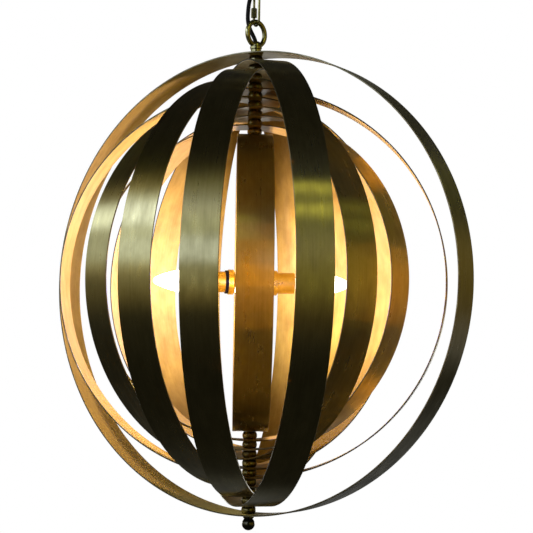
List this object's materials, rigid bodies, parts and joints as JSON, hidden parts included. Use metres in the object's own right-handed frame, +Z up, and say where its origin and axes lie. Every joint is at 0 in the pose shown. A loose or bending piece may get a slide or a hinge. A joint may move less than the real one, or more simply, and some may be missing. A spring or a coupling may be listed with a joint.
{
  "type": "pendant light",
  "caption": "Globe pendant light of nested brushed strap hoops that turn on one spindle around horizontal candle bulbs, hung from a ceiling canopy by a loop and a threaded link.",
  "frame": {"origin": "on the ceiling plane, at the middle of the crossbar that carries the light", "axes": "+Z up along the spindle, +X to the right and -Y towards the viewer in the picture"},
  "size_m": [0.5914, 0.6266, 0.8469],
  "materials": {
    "brushed_strap": "lengthwise brushed antique brass with dark patina",
    "cast_bronze": "dark bronze with rubbed highlights",
    "plated_link": "antique brass plate",
    "spun_canopy": "brushed antique brass",
    "zinc_steel": "zinc plated",
    "lamp_brass": "satin gold brass",
    "holder_plastic": "moulded black",
    "bulb_cap": "bright screw cap",
    "bulb_glass": "lit frosted candle bulb",
    "cord_sheath": "black round cord"
  },
  "bodies": {
    "ceiling": {"canopy": "spun_canopy", "crossbar": "zinc_steel", "lock_nut": "zinc_steel", "canopy_ring": "cast_bronze", "canopy_stem": "zinc_steel", "canopy_loop": "cast_bronze", "cord_upper": "cord_sheath"},
    "link": {"quick_link": "plated_link"},
    "nut": {"link_nut": "plated_link"},
    "pendant": {"lamp_loop": "cast_bronze", "upper_spindle": "zinc_steel", "upper_spacer_1": "cast_bronze", "upper_spacer_2": "cast_bronze", "upper_spacer_3": "cast_bronze", "upper_spacer_4": "cast_bronze", "upper_spacer_5": "cast_bronze", "upper_spacer_6": "cast_bronze", "upper_spacer_7": "cast_bronze", "upper_spacer_8": "cast_bronze", "upper_spacer_9": "cast_bronze", "lower_spacer_1": "cast_bronze", "lower_spacer_2": "cast_bronze", "lower_spacer_3": "cast_bronze", "lower_spacer_4": "cast_bronze", "lower_spacer_5": "cast_bronze", "lower_spacer_6": "cast_bronze", "lower_spacer_7": "cast_bronze", "lower_spacer_8": "cast_bronze", "lower_spacer_9": "cast_bronze", "hub_body": "lamp_brass", "hub_cover": "lamp_brass", "lower_spindle": "zinc_steel", "finial": "cast_bronze", "arm_nipples": "zinc_steel", "lampholders": "holder_plastic", "bulb_caps": "bulb_cap", "lamp_cup_1": "lamp_brass", "lamp_cup_2": "lamp_brass", "lamp_cup_3": "lamp_brass", "lamp_cup_4": "lamp_brass", "candle_sleeve_1": "lamp_brass", "candle_sleeve_2": "lamp_brass", "candle_sleeve_3": "lamp_brass", "candle_sleeve_4": "lamp_brass", "bulb_glass_1": "bulb_glass", "bulb_glass_2": "bulb_glass", "bulb_glass_3": "bulb_glass", "bulb_glass_4": "bulb_glass", "cord_lower": "cord_sheath"},
    "turning_01": {"hoop_01": "brushed_strap"},
    "turning_02": {"hoop_02": "brushed_strap"},
    "turning_03": {"hoop_03": "brushed_strap"},
    "turning_04": {"hoop_04": "brushed_strap"},
    "turning_05": {"hoop_05": "brushed_strap"},
    "turning_06": {"hoop_06": "brushed_strap"},
    "turning_07": {"hoop_07": "brushed_strap"},
    "turning_08": {"hoop_08": "brushed_strap"},
    "turning_09": {"hoop_09": "brushed_strap"},
    "turning_10": {"hoop_10": "brushed_strap"}
  },
  "joints": [
    {"name": "link_swing", "type": "hinge", "parent": "ceiling", "child": "link", "pos_m": [0, 0, -0.0808], "axis": [0.7361, 0.6769, 0], "range_deg": [-30, 30], "deforming": ["cord_upper"]},
    {"name": "pendant_swing", "type": "hinge", "parent": "link", "child": "pendant", "pos_m": [0, 0, -0.12275], "axis": [0.4695, -0.8829, 0], "range_deg": [-30, 30], "deforming": ["cord_lower"]},
    {"name": "nut_travel", "type": "slide", "parent": "link", "child": "nut", "axis": [0, 0, 1], "range_m": [0, 0.0099]},
    {"name": "hoop_01_turn", "type": "hinge", "parent": "pendant", "child": "turning_01", "pos_m": [0, 0, -0.4953], "axis": [0, 0, 1], "continuous": true},
    {"name": "hoop_02_turn", "type": "hinge", "parent": "pendant", "child": "turning_02", "pos_m": [0, 0, -0.4953], "axis": [0, 0, 1], "continuous": true},
    {"name": "hoop_03_turn", "type": "hinge", "parent": "pendant", "child": "turning_03", "pos_m": [0, 0, -0.4953], "axis": [0, 0, 1], "continuous": true},
    {"name": "hoop_04_turn", "type": "hinge", "parent": "pendant", "child": "turning_04", "pos_m": [0, 0, -0.4953], "axis": [0, 0, 1], "continuous": true},
    {"name": "hoop_05_turn", "type": "hinge", "parent": "pendant", "child": "turning_05", "pos_m": [0, 0, -0.4953], "axis": [0, 0, 1], "continuous": true},
    {"name": "hoop_06_turn", "type": "hinge", "parent": "pendant", "child": "turning_06", "pos_m": [0, 0, -0.4953], "axis": [0, 0, 1], "continuous": true},
    {"name": "hoop_07_turn", "type": "hinge", "parent": "pendant", "child": "turning_07", "pos_m": [0, 0, -0.4953], "axis": [0, 0, 1], "continuous": true},
    {"name": "hoop_08_turn", "type": "hinge", "parent": "pendant", "child": "turning_08", "pos_m": [0, 0, -0.4953], "axis": [0, 0, 1], "continuous": true},
    {"name": "hoop_09_turn", "type": "hinge", "parent": "pendant", "child": "turning_09", "pos_m": [0, 0, -0.4953], "axis": [0, 0, 1], "continuous": true},
    {"name": "hoop_10_turn", "type": "hinge", "parent": "pendant", "child": "turning_10", "pos_m": [0, 0, -0.4953], "axis": [0, 0, 1], "continuous": true}
  ]
}
